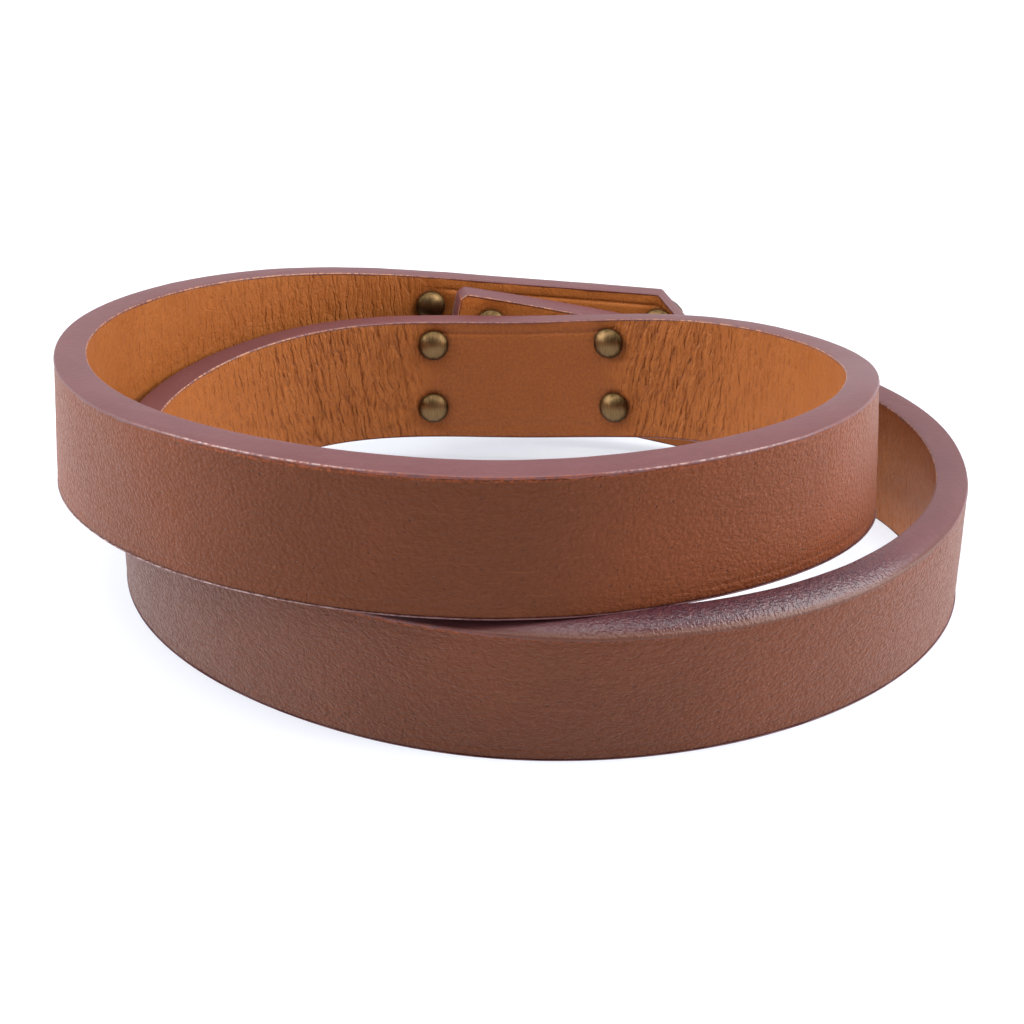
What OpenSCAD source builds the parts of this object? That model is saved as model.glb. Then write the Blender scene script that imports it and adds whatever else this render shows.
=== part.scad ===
// A leather wrap bracelet: one lined strap laid in two turns that rest on each other.
// The strap stands on its lower edge. Its two ends overlap at the back, where a plate
// clasp with one stud holds them. Z is up and the front of the bracelet faces -Y.

/* [Strap] */
// Width of the strap, which is its height as it stands
strap_w = 10; // [9.6:0.1:10]
// Thickness of the grained outer leather
outer_t = 1.2; // [1:0.05:1.2]
// Thickness of the smooth lining leather
lining_t = 1.05; // [0.8:0.05:1.05]
// Glue line between the two leathers
bond_gap = 0.05; // [0.03:0.01:0.1]
// Radius of the rounded corners of both edges
edge_r = 0.35; // [0.2:0.05:0.45]
// Length and height of the clipped corners at the outer end
outer_clip = 2.5; // [1:0.1:2.6]
// Length and height of the clipped corners at the tongue end
tongue_clip = 0.5; // [0.3:0.1:1]

/* [Turns] */
// Turn angle of the outer end, counted from the right-hand side
outer_end = 67; // [66:0.5:68]
// Turn angle of the tongue end, two turns on
tongue_end = 820.5; // [820:0.5:821]

/* [Rivets] */
// Diameter of the domed rivet heads
head_d = 2.4; // [2:0.1:2.5]
// Height of the dome over the leather
head_h = 0.75; // [0.5:0.05:0.8]
// Diameter of the rivet posts
post_d = 1.1; // [0.8:0.1:1.2]
// Diameter of the caps that close the posts at the back
cap_d = 2.2; // [1.8:0.1:2.4]
// Height of those caps
cap_h = 0.5; // [0.3:0.05:0.6]

/* [Clasp] */
// Thickness of the clasp plate behind the outer end
plate_t = 0.8; // [0.5:0.1:1]
// Height of the clasp plate
plate_w = 7.6; // [7.4:0.1:8]
// Size of the clipped corners of the clasp plate
plate_clip = 0.8; // [0.4:0.1:1.2]
// Diameter of the stud that joins the two ends
stud_d = 2; // [1.5:0.1:2.2]
// Diameter of the flat head of the stud
stud_head_d = 3.4; // [3:0.1:3.6]
// Thickness of the flat head of the stud
stud_head_t = 0.6; // [0.4:0.1:0.8]

/* [Hidden] */

// The way that the strap takes, as rows that pull a smooth curve towards them.
// Columns: turn angle in degrees, radius of the strap's middle, height of its
// lower edge over the table, and outward lean in degrees. From 530 to 760 degrees
// the strap stands on the table, and its lower edge is pressed a little flat there.
ROUTE = [
    [ 30, 40.7,  2.2,  3],
    [ 60, 37.3,  2.6,  2],
    [ 90, 34.8,  3.3,  0],
    [120, 34.3,  6.3, -1],
    [150, 33.5,  7.5, -3],
    [180, 32.3,  8.4, -3],
    [210, 31.1,  9.2,  3],
    [240, 33.5, 10.5,  5],
    [270, 33.3, 10.0,  9],
    [300, 31.4, 10.4,  6],
    [330, 25.8,  8.9, -2],
    [360, 24.0,  6.6, -1],
    [390, 25.4,  4.8,  3],
    [420, 26.8,  3.9,  3],
    [450, 27.2,  1.9,  0],
    [480, 31.2,  2.7, -1],
    [510, 31.3,  0.6,  0],
    [540, 27.5, -0.2,  1],
    [570, 26.7, -0.1,  6],
    [600, 28.4, -0.1, 10],
    [630, 32.4, -0.1, 13],
    [660, 32.6, -0.1, 16],
    [690, 31.1, -0.1, 10],
    [720, 31.0, -0.1, -1],
    [750, 32.6, -0.1, -4],
    [780, 33.0,  0.2, -5],
    [810, 31.8,  2.8, -4],
    [840, 31.8,  6.2, -4],
    [870, 32.4,  9.5, -4],
];
TURN = 0;
RADIUS = 1;
HEIGHT = 2;
LEAN = 3;

// Turn angles of the rivet columns, and heights of their rows from the strap's middle
middle_left = 463.9;
middle_right = 432.4;
middle_rows = [3, -2.4];
end_left = 103.3;
end_right = 70.8;
end_rows = [2.5, -2.5];
tongue_column = 815.2;
tongue_rows = [2.8, -2.8];
UPPER = 0;
LOWER = 1;

// Turn angle of the stud, on the tongue
stud_turn = 808;
// How far the clasp plate runs past its two rivet columns, in degrees
plate_past = 2.6;

// Middle of the finished bracelet's box, in the turns' own plan
box_middle = [-0.6, 1.3];

// Room left between leather and metal, and between a post and its hole
seat_gap = 0.1;
hole_gap = 0.1;
// Degrees of turn between two rings of the swept strap
ring_step = 5;
// Flats in each rounded corner, and sides of round holes and posts
corner_steps = 3;
round_sides = 24;
// Length of the drills that cut the holes, longer than the two straps at the joint
drill_l = 8;

strap_t = outer_t + bond_gap + lining_t;
lining_face = -strap_t / 2;
lining_back = lining_face + lining_t;
outer_back = lining_back + bond_gap;
outer_face = strap_t / 2;
route_step = ROUTE[1][TURN] - ROUTE[0][TURN];

LEATHER = "#7a4634";
LINING = "#b0703a";
BRASS = "#8f7a4a";

// Weight of each of the four rows nearest to a place, t being 0 to 1 between rows
function row_weight(k, t) =
    k == 0 ? pow(1 - t, 3) / 6 :
    k == 1 ? (3 * pow(t, 3) - 6 * pow(t, 2) + 4) / 6 :
    k == 2 ? (-3 * pow(t, 3) + 3 * pow(t, 2) + 3 * t + 1) / 6 :
    pow(t, 3) / 6;

// One column of the route at any turn angle, as a smooth curve
function route(turn, column) =
    let (place = (turn - ROUTE[0][TURN]) / route_step, row = floor(place), t = place - row)
    row_weight(0, t) * ROUTE[row - 1][column] + row_weight(1, t) * ROUTE[row][column]
    + row_weight(2, t) * ROUTE[row + 1][column] + row_weight(3, t) * ROUTE[row + 2][column];

// Middle of the strap's section at a turn angle
function middle(turn) =
    let (radius = route(turn, RADIUS), lean = route(turn, LEAN))
    [
        radius * cos(turn) - box_middle.x,
        radius * sin(turn) - box_middle.y,
        route(turn, HEIGHT) + strap_w / 2 * cos(lean) + strap_t / 2 * abs(sin(lean)),
    ];

function unit(v) = v / norm(v);

// Directions at a turn angle: along the strap, up its width, and out of its grain side
function along(turn) = unit(middle(turn + 0.5) - middle(turn - 0.5));
function axes(turn) =
    let (
        tangent = along(turn), level = unit(cross(tangent, [0, 0, 1])),
        rise = cross(level, tangent), lean = route(turn, LEAN)
    )
    [tangent, cos(lean) * rise + sin(lean) * level, cos(lean) * level - sin(lean) * rise];

// Length of strap in one degree of turn
function degree_length(turn) = norm(middle(turn + 0.5) - middle(turn - 0.5));

// A corner of a section at [out, up], rounded to radius r between its two sides
function corner(out, up, r, start) =
    r == 0 ? [[out, up]] :
    let (c = [out - sign(cos(start + 45)) * r, up - sign(sin(start + 45)) * r])
    [for (i = [0 : corner_steps])
        let (a = start + 90 * i / corner_steps) c + r * [cos(a), sin(a)]];

// A section of one layer, from its inner to its outer face, each side with its own rounding
function section(inner, outer, half, inner_r, outer_r) = concat(
    corner(outer, -half, outer_r, -90),
    corner(outer, half, outer_r, 0),
    corner(inner, half, inner_r, 90),
    corner(inner, -half, inner_r, 180)
);

// Turn angles of the rings: the two ends, where their clipped corners begin, and steps between
function rings(from, to, clip_from, clip_to) =
    let (
        first = from + clip_from / degree_length(from),
        last = to - clip_to / degree_length(to),
        count = ceil((last - first) / ring_step)
    )
    concat([from], [for (i = [0 : count]) first + (last - first) * i / count], [to]);

// Half the height of a layer at ring i of n, cut down at the two ends
function half_height(half, i, n, clip_from, clip_to) =
    half - (i == 0 ? clip_from : i == n - 1 ? clip_to : 0);

// A layer swept along the route. What would sink below the table is pressed flat on it.
// The diagonals of all its faces climb the same way, so that two layers stay parallel.
module layer(inner, outer, half, inner_r, outer_r, from, to, clip_from, clip_to) {
    turns = rings(from, to, clip_from, clip_to);
    n = len(turns);
    m = len(section(inner, outer, half, inner_r, outer_r));
    points = [for (i = [0 : n - 1])
        let (
            origin = middle(turns[i]), axis = axes(turns[i]),
            h = half_height(half, i, n, clip_from, clip_to)
        )
        for (p = section(inner, outer, h, inner_r, outer_r))
            let (q = origin + p.x * axis[2] + p.y * axis[1]) [q.x, q.y, max(q.z, 0)]];
    heights = [for (p = section(inner, outer, half, inner_r, outer_r)) p.y];
    sides = [for (i = [0 : n - 2], j = [0 : m - 1])
        let (k = (j + 1) % m, a = i * m + j, b = i * m + k)
        each heights[j] < heights[k]
            ? [[a, b, b + m], [a, b + m, a + m]]
            : [[a, b, a + m], [b, b + m, a + m]]];
    polyhedron(
        points,
        concat([[for (j = [m - 1 : -1 : 0]) j]], sides, [[for (j = [0 : m - 1]) (n - 1) * m + j]])
    );
}

// Puts its children in the strap's own directions: X along, Y up the width, Z outwards
module on_strap(turn, up) {
    axis = axes(turn);
    origin = middle(turn) + up * axis[1];
    multmatrix([
        [axis[0].x, axis[1].x, axis[2].x, origin.x],
        [axis[0].y, axis[1].y, axis[2].y, origin.y],
        [axis[0].z, axis[1].z, axis[2].z, origin.z],
    ]) children();
}

// A round bar between two heights over the strap's middle
module bar(d, from, to) {
    translate([0, 0, from]) cylinder(h = to - from, d = d, $fn = round_sides);
}

// Holes for the rivets and the stud, the same in both leathers
module strap_holes() {
    hole_d = post_d + 2 * hole_gap;
    for (turn = [middle_left, middle_right], up = middle_rows)
        on_strap(turn, up) bar(hole_d, -strap_t, strap_t);
    for (turn = [end_left, end_right], up = end_rows)
        on_strap(turn, up) bar(hole_d, -strap_t, strap_t);
    for (up = tongue_rows)
        on_strap(tongue_column, up) bar(hole_d, -strap_t, strap_t);
    on_strap(stud_turn, 0) bar(stud_d + 2 * hole_gap, -strap_t, drill_l);
}

// The outer leather, with its rounded corners on the grain side
module outer_leather() {
    color(LEATHER) difference() {
        layer(outer_back, outer_face, strap_w / 2, 0, edge_r,
            outer_end, tongue_end, outer_clip, tongue_clip);
        strap_holes();
    }
}

// The lining, with its rounded corners on the side of the wrist
module lining_leather() {
    color(LINING) difference() {
        layer(lining_face, lining_back, strap_w / 2, edge_r, 0,
            outer_end, tongue_end, outer_clip, tongue_clip);
        strap_holes();
    }
}

// Half outline of a low dome with a short upright rim, to be turned round its middle
function dome_outline(d, h) =
    let (
        rim = h / 5, r = d / 2, rise = h - rim,
        ball = (r * r + rise * rise) / (2 * rise), sweep = asin(r / ball)
    )
    concat([[0, 0], [r, 0]],
        [for (i = [0 : 6]) let (a = sweep * (1 - i / 6))
            [ball * sin(a), h - ball + ball * cos(a)]]);

module dome(d, h) {
    rotate_extrude($fn = round_sides) polygon(dome_outline(d, h));
}

// A rivet: a dome on the lining, a post, and a cap whose underside is at back,
// or a post that ends flush in the grain side where the straps lie close
module rivet(turn, up, back, cap) {
    color(BRASS) on_strap(turn, up) union() {
        translate([0, 0, lining_face - seat_gap]) mirror([0, 0, 1]) dome(head_d, head_h);
        bar(post_d, lining_face - seat_gap, back);
        if (cap) translate([0, 0, back]) dome(cap_d, cap_h);
    }
}

module middle_rivet(turn, row) {
    rivet(turn, middle_rows[row], outer_face + seat_gap, true);
}

module end_rivet(turn, row) {
    rivet(turn, end_rows[row], outer_face + plate_t + 2 * seat_gap, true);
}

module tongue_rivet(row) {
    rivet(tongue_column, tongue_rows[row], outer_face - seat_gap, false);
}

// The clasp: a plate under the caps of the end rivets, and a stud through both ends
module clasp() {
    plate_face = outer_face + seat_gap;
    reach = route(stud_turn - 720, RADIUS) - route(stud_turn, RADIUS);
    head = lining_face - 3 * seat_gap;
    color(BRASS) union() {
        difference() {
            layer(plate_face, plate_face + plate_t, plate_w / 2, 0, 0,
                end_right - plate_past, end_left + plate_past, plate_clip, plate_clip);
            for (turn = [end_left, end_right], up = end_rows)
                on_strap(turn, up) bar(post_d + 2 * hole_gap, 0, drill_l);
        }
        on_strap(stud_turn, 0) union() {
            bar(stud_d, head, reach + plate_face + plate_t / 2);
            bar(stud_head_d, head - stud_head_t, head);
        }
    }
}

outer_leather();
lining_leather();
middle_rivet(middle_left, UPPER);  // middle_rivet_left_upper
middle_rivet(middle_left, LOWER);  // middle_rivet_left_lower
middle_rivet(middle_right, UPPER);  // middle_rivet_right_upper
middle_rivet(middle_right, LOWER);  // middle_rivet_right_lower
end_rivet(end_left, UPPER);  // end_rivet_left_upper
end_rivet(end_left, LOWER);  // end_rivet_left_lower
end_rivet(end_right, UPPER);  // end_rivet_right_upper
end_rivet(end_right, LOWER);  // end_rivet_right_lower
tongue_rivet(UPPER);  // tongue_rivet_upper
tongue_rivet(LOWER);  // tongue_rivet_lower
clasp();
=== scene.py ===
"""A leather wrap bracelet: a lined strap in two turns, with painted edges and brass rivets."""

import math

import bmesh
import bpy
import numpy as np
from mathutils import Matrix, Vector


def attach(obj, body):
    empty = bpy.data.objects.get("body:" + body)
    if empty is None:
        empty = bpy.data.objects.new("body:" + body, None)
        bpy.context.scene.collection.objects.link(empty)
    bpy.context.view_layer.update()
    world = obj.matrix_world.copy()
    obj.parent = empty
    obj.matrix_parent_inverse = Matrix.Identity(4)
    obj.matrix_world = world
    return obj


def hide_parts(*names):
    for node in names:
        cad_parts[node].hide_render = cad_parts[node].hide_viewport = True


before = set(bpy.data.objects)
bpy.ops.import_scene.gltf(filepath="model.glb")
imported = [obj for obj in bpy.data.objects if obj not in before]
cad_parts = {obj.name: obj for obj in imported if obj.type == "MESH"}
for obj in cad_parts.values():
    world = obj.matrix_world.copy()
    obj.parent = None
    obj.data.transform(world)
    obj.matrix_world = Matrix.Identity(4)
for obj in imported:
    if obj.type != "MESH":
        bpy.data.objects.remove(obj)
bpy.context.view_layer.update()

# The strap leather. A reddish-brown calfskin with a fine pebbled grain, 1.2 mm thick, cut as a
# ribbon 10 mm wide and 406 mm long. It is glued to its lining and laid in two turns that stand
# on their edges, and a line is pressed into it along both edges.

MM = 0.001
STRAP_WIDTH = 10.0
STRAP_THICKNESS = 2.3
OUTER_END = 67.0
TONGUE_END = 820.5
OUTER_CLIP = 2.5
TONGUE_CLIP = 0.5
BOX_MIDDLE = (-0.6, 1.3)
PAINT_THICKNESS = 0.06
GRAIN_FACE = STRAP_THICKNESS / 2
GRAIN_BACK = -0.05
LEATHER_HALF = STRAP_WIDTH / 2 - PAINT_THICKNESS
LEATHER_EDGE_R = 0.2
OUTER_HALF = 4.88
PRESSED_LINE_UP = 4.1
PRESSED_LINE_WIDTH = 0.14
PRESSED_LINE_DEPTH = 0.06

# The way of the strap's middle through both turns. Columns: turn angle in degrees, radius in
# mm, height of the lower edge in mm, outward lean in degrees.
ROUTE = np.array([
    [30, 40.7, 2.2, 3],
    [60, 37.3, 2.6, 2],
    [90, 34.8, 3.3, 0],
    [120, 34.3, 6.3, -1],
    [150, 33.5, 7.5, -3],
    [180, 32.3, 8.4, -3],
    [210, 31.1, 9.2, 3],
    [240, 33.5, 10.5, 5],
    [270, 33.3, 10.0, 9],
    [300, 31.4, 10.4, 6],
    [330, 25.8, 8.9, -2],
    [360, 24.0, 6.6, -1],
    [390, 25.4, 4.8, 3],
    [420, 26.8, 3.9, 3],
    [450, 27.2, 1.9, 0],
    [480, 31.2, 2.7, -1],
    [510, 31.3, 0.6, 0],
    [540, 27.5, -0.2, 1],
    [570, 26.7, -0.1, 6],
    [600, 28.4, -0.1, 10],
    [630, 32.4, -0.1, 13],
    [660, 32.6, -0.1, 16],
    [690, 31.1, -0.1, 10],
    [720, 31.0, -0.1, -1],
    [750, 32.6, -0.1, -4],
    [780, 33.0, 0.2, -5],
    [810, 31.8, 2.8, -4],
    [840, 31.8, 6.2, -4],
    [870, 32.4, 9.5, -4],
])
ROUTE_STEP = 30


def route(turn):
    """Radius, height and lean at turn angles: a uniform cubic B-spline over the route's rows."""
    place = (turn - ROUTE[0, 0]) / ROUTE_STEP
    row = np.floor(place).astype(int)
    t = place - row
    weights = ((1 - t) ** 3, 3 * t**3 - 6 * t**2 + 4, -3 * t**3 + 3 * t**2 + 3 * t + 1, t**3)
    return sum((w / 6)[..., None] * ROUTE[row - 1 + k, 1:] for k, w in enumerate(weights))


def middle(turn):
    """Middle of the strap's section: radius and turn angle in plan, and over the lower edge's
    height half the width and half the thickness as they lean."""
    radius, height, lean = np.moveaxis(route(turn), -1, 0)
    angle, lean = np.radians(turn), np.radians(lean)
    rise = STRAP_WIDTH / 2 * np.cos(lean) + STRAP_THICKNESS / 2 * np.abs(np.sin(lean))
    x = radius * np.cos(angle) - BOX_MIDDLE[0]
    y = radius * np.sin(angle) - BOX_MIDDLE[1]
    return np.stack([x, y, height + rise], -1)


# Length of strap from its outer end to each turn angle, by adding up short chords
fine_turns = np.linspace(OUTER_END - 3, TONGUE_END + 3, 8000)
chords = np.linalg.norm(np.diff(middle(fine_turns), axis=0), axis=1)
fine_lengths = np.concatenate([[0], np.cumsum(chords)])
fine_lengths -= np.interp(OUTER_END, fine_turns, fine_lengths)


def length_at(turn):
    """Length of strap in mm from the outer end to a turn angle."""
    return float(np.interp(turn, fine_turns, fine_lengths))


STRAP_LENGTH = length_at(TONGUE_END)


def strap_axes(along):
    """Middle of the strap at a length, and its directions along, up and outwards. The level
    direction is the tangent cross Z, the rise is level cross tangent, and the lean turns both."""
    turn = np.interp(along, fine_lengths, fine_turns)
    tangent = middle(turn + 0.5) - middle(turn - 0.5)
    tangent /= np.linalg.norm(tangent, axis=-1, keepdims=True)
    level = np.cross(tangent, [0.0, 0.0, 1.0])
    level /= np.linalg.norm(level, axis=-1, keepdims=True)
    rise = np.cross(level, tangent)
    lean = np.radians(route(turn)[..., 2])[..., None]
    up = np.cos(lean) * rise + np.sin(lean) * level
    out = np.cos(lean) * level - np.sin(lean) * rise
    return middle(turn), tangent, up, out


def on_strap(along, up, out, floor=0.0):
    """Places of flat strap coordinates in mm: the middle at that length plus up and out times
    the strap's own directions. What would sink below the table is pressed flat at floor."""
    along, up, out = np.broadcast_arrays(along, up, out)
    origin, _, up_axis, out_axis = strap_axes(along)
    points = origin + up[..., None] * up_axis + out[..., None] * out_axis
    points[..., 2] = np.maximum(points[..., 2], floor)
    return points


def half_width(along, half):
    """Half the strap's width at a length, cut down in a straight line at both clipped ends."""
    outer = half - OUTER_CLIP + along
    tongue = half - TONGUE_CLIP + STRAP_LENGTH - along
    return np.minimum(half, np.minimum(outer, tongue))


def quarter(out, up, radius, start, steps=5):
    """A quarter circle inside the corner at [out, up], from the angle start onwards."""
    angle = np.radians(start + np.linspace(0, 90, steps + 1))
    side = np.radians(start + 45)
    centre = [out - np.sign(np.cos(side)) * radius, up - np.sign(np.sin(side)) * radius]
    return centre + radius * np.stack([np.cos(angle), np.sin(angle)], -1)


def column(out, ups):
    """A straight side of a section at one out, through the given ups."""
    return np.stack([np.full(len(ups), float(out)), ups], -1)


def ripple(along, up, wave_along, wave_up, rng, waves=9):
    """A soft random relief between about -1 and 1: a sum of plane waves whose lengths lie
    round the two given ones, with random directions and phases."""
    total = np.zeros(np.broadcast(along, up).shape)
    for _ in range(waves):
        per_along, per_up = rng.normal(0, 1, 2) / (wave_along, wave_up)
        total += np.sin(2 * np.pi * (per_along * along + per_up * up) + rng.uniform(0, 2 * np.pi))
    return total / math.sqrt(waves)


def wander(place, period, rng):
    """A smooth random curve between -1 and 1: random knots every period, joined by half
    cosines."""
    step = (place - place.min()) / period
    row = np.floor(step).astype(int)
    knots = rng.uniform(-1, 1, row.max() + 2)
    t = (1 - np.cos(np.pi * (step - row))) / 2
    return knots[row] * (1 - t) + knots[row + 1] * t


def eased(along, table):
    """A value along the strap: the smooth step of the table's straight lines."""
    value = np.interp(along, *table)
    return value * value * (3 - 2 * value)


def worn_round(along, up, out):
    """How far the upper outer corner is lowered in mm: the square of the share of the way out
    over the strap's thickness, fading below the edge."""
    share = np.clip((out + 0.25) / (STRAP_THICKNESS / 2 + 0.25), 0, 1)
    high = np.clip((up - STRAP_WIDTH / 2 + 1.0) / 0.8, 0, 1)
    return ROUNDED_DROP * eased(along, ROUNDED) * share**2 * high


def swept(name, points, flat, closed=False, **values):
    """A closed mesh from rings of points in mm. Neighbouring rings are joined by four-sided
    faces, and the two end rings are filled, or joined where the path is closed. flat is the
    pair of coordinates in mm that becomes the UV map in metres, and values are kept on each
    point as attributes."""
    rings, around = points.shape[:2]
    index = np.arange(rings * around).reshape(rings, around)
    this, after = (index, np.roll(index, -1, 0)) if closed else (index[:-1], index[1:])
    sides = [this, np.roll(this, -1, 1), np.roll(after, -1, 1), after]
    faces = np.stack(sides, -1).reshape(-1, 4).tolist()
    if not closed:
        faces += [index[0, ::-1].tolist(), index[-1].tolist()]
    mesh = bpy.data.meshes.new(name)
    mesh.from_pydata((points.reshape(-1, 3) * MM).tolist(), [], faces)
    mesh.polygons.foreach_set("use_smooth", np.ones(len(mesh.polygons), bool))
    corners = np.empty(len(mesh.loops), np.int32)
    mesh.loops.foreach_get("vertex_index", corners)
    layer = mesh.uv_layers.new(name="flat")
    flat = np.stack(np.broadcast_arrays(*flat), -1).reshape(-1, 2)
    layer.data.foreach_set("uv", (flat[corners] * MM).astype(np.float32).ravel())
    for key, value in values.items():
        attribute = mesh.attributes.new(key, "FLOAT", "POINT")
        value = np.broadcast_to(value, (rings, around))
        attribute.data.foreach_set("value", value.astype(np.float32).ravel())
    work = bmesh.new()
    work.from_mesh(mesh)
    inside_out = work.calc_volume(signed=True) < 0
    work.free()
    if inside_out:
        mesh.flip_normals()
    mesh.update()
    piece = bpy.data.objects.new(name, mesh)
    bpy.context.scene.collection.objects.link(piece)
    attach(piece, "root")
    return piece


def colour(code):
    """Linear red, green, blue and alpha of an sRGB hex code."""
    parts = [int(code[i : i + 2], 16) / 255 for i in (1, 3, 5)]
    return [p / 12.92 if p <= 0.04045 else ((p + 0.055) / 1.055) ** 2.4 for p in parts] + [1.0]


def fill(tree, node, inputs):
    """Fills inputs of a node. A socket is linked, a node is linked from its first output that
    is in use, a hex code is set as its colour, and any other value is set as it is."""
    for key, value in inputs.items():
        if isinstance(value, bpy.types.Node):
            value = next(socket for socket in value.outputs if socket.enabled)
        if isinstance(value, bpy.types.NodeSocket):
            tree.links.new(value, node.inputs[key])
        else:
            node.inputs[key].default_value = colour(value) if isinstance(value, str) else value


def add_node(tree, kind, inputs=None, **settings):
    """Adds a node with its settings and fills its inputs. Kinds are named without the word
    ShaderNode that all of them start with."""
    node = tree.nodes.new("ShaderNode" + kind)
    for key, value in settings.items():
        setattr(node, key, value)
    fill(tree, node, inputs or {})
    return node


def new_material(name):
    """An empty material with a Principled surface, its node tree and that shader."""
    material = bpy.data.materials.new(name)
    material.use_nodes = True
    return material, material.node_tree, material.node_tree.nodes["Principled BSDF"]


# Shares from 0 to 1 at lengths along the strap in mm: how far the upper outer corner has worn
# round, how far the leather's raw orange edge shows there, how far its colour is a greyer brown,
# partly real fading and partly painted sheen at the far sides of the turns, and its tone from the
# darkest to the lightest, painted shade on the front of the upper turn and painted light and sheen
# on its lit sides and at the right end of the lower turn.
ROUNDED = ([60, 72, 90, 97, 130, 138, 158, 168, 292, 305, 321, 330, 345, 356],
           [0.0, 0.5, 0.4, 0.0, 0.0, 0.4, 0.5, 0.0, 0.0, 1.0, 1.0, 0.45, 0.5, 0.0])
ROUNDED_DROP = 0.38
RAW_EDGE = ([0, 90, 98, 122, 130, 280, 290, 310, 320],
            [0.1, 0.2, 0.55, 0.6, 0.35, 0.3, 0.5, 0.5, 0.3])
# Faded is partly the dye's real fading and partly painted sheen at the far sides of the turns.
FADED = ([0, 170, 262, 280, 292, 345, 400], [0.1, 0.1, 1.0, 0.6, 0.4, 0.4, 0.6])
# The tone is painted shade on the front middle of the upper turn and painted light and sheen on the
# lit sides.
TONE = ([0, 60, 72, 84, 96, 108, 119, 131, 143, 160, 180, 280, 292, 302, 313, 330, 346, 370],
        [0.5, 0.9, 0.9, 0.5, 0.4, 0.0, 0.0, 0.5, 1.0, 1.0, 0.5, 0.35, 0.15, 0.25, 0.5, 0.9, 1.0, 0.5])

rng = np.random.default_rng(11)
outer_rows = np.sort(np.concatenate([
    np.linspace(-OUTER_HALF + LEATHER_EDGE_R, OUTER_HALF - LEATHER_EDGE_R, 20)[1:-1],
    PRESSED_LINE_UP + np.linspace(-0.25, 0.25, 7),
    -PRESSED_LINE_UP + np.linspace(-0.25, 0.25, 7),
    [4.5, 4.6],
]))
outer_section = np.concatenate([
    quarter(GRAIN_FACE, -OUTER_HALF, LEATHER_EDGE_R, -90),
    column(GRAIN_FACE, outer_rows),
    quarter(GRAIN_FACE, OUTER_HALF, LEATHER_EDGE_R, 0),
    column(GRAIN_BACK, [OUTER_HALF, 0.0, -OUTER_HALF]),
])
outer_along = np.concatenate([
    np.linspace(0.05, 3, 16),
    np.arange(3.4, STRAP_LENGTH - 1.6, 0.4),
    np.linspace(STRAP_LENGTH - 1.4, STRAP_LENGTH - 0.05, 8),
])[:, None]
outer_up = outer_section[:, 1] * half_width(outer_along, OUTER_HALF) / OUTER_HALF
outer_up = outer_up - worn_round(outer_along, outer_up, outer_section[:, 0])
on_grain = np.clip((outer_section[:, 0] - GRAIN_FACE + LEATHER_EDGE_R) / LEATHER_EDGE_R, 0, 1)
pressed = np.exp(-(((np.abs(outer_up) - PRESSED_LINE_UP) / PRESSED_LINE_WIDTH) ** 2))
pressed *= (0.6 + 0.4 * wander(outer_along, 9, rng)) * np.where(outer_up > 0, 0.5, 1.0)
relief = 0.022 * ripple(outer_along, outer_up, 14, 9, rng)
relief += 0.008 * ripple(outer_along, outer_up, 3, 3, rng)
relief -= PRESSED_LINE_DEPTH * pressed + 0.04 * np.abs(outer_up / OUTER_HALF) ** 8
outer_leather = swept(
    "outer_leather_skin",
    on_strap(outer_along, outer_up, outer_section[:, 0] + on_grain * relief, 0.04),
    (outer_along, outer_up),
    edge=outer_section[:, 1] / OUTER_HALF,
    raw=eased(outer_along, RAW_EDGE),
    faded=eased(outer_along, FADED),
    # Tone with painted light and shade along the strap.
    tone=np.interp(outer_along, *TONE),
)
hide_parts("outer_leather")


def flat_place(tree):
    """The UV map in mm: for the leathers the length along the strap and the height on it."""
    return add_node(tree, "VectorMath", {
        "Vector": add_node(tree, "UVMap", uv_map="flat"), "Scale": 1 / MM,
    }, operation="SCALE")


def bent(tree, place, waves, reach):
    """Places in mm pushed aside by a soft noise, with so many waves in a mm, times reach."""
    return add_node(tree, "VectorMath", {
        0: place,
        1: add_node(tree, "VectorMath", {
            "Vector": add_node(tree, "TexNoise", {
                "Vector": place, "Scale": waves, "Detail": 2.0,
            }, noise_dimensions="2D").outputs["Color"],
            "Scale": reach,
        }, operation="SCALE"),
    }, operation="ADD")


def patches(tree, place, size, turn=0.0, detail=3.0, roughness=0.6):
    """Soft noise in patches of a length and height in mm, turned by an angle in radians."""
    return add_node(tree, "TexNoise", {
        "Vector": add_node(tree, "Mapping", {
            "Vector": place, "Rotation": (0.0, 0.0, turn),
            "Scale": (1 / size[0], 1 / size[1], 1.0),
        }),
        "Scale": 1.0, "Detail": detail, "Roughness": roughness,
    }, noise_dimensions="2D")


def valleys(tree, noise, width):
    """Winding valleys where a noise crosses its mean: its distance from 0.5 over the width,
    eased from 0 on their floors to 1 beside them."""
    off = add_node(tree, "Math", {0: noise, 1: 0.5}, operation="SUBTRACT")
    return add_node(tree, "MapRange", {
        "Value": add_node(tree, "Math", {0: off}, operation="ABSOLUTE"),
        "From Min": 0.0, "From Max": width,
    }, interpolation_type="SMOOTHSTEP")


def dots(tree, place, spacing, radii, strength):
    """Scattered round dots, spacing mm apart: strength within the first radius, and none past
    the second. Both radii are shares of the spacing."""
    return add_node(tree, "MapRange", {
        "Value": add_node(tree, "TexVoronoi", {
            "Vector": place, "Scale": 1 / spacing,
        }, voronoi_dimensions="2D"),
        "From Min": radii[0], "From Max": radii[1], "To Min": strength, "To Max": 0.0,
    }, interpolation_type="SMOOTHSTEP")


def layered(tree, base, layers):
    """A colour with others laid over it: each covers what is under it as far as its share
    says."""
    for share, over in layers:
        base = add_node(tree, "Mix", {"Factor": share, "A": base, "B": over}, data_type="RGBA")
    return base
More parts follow.
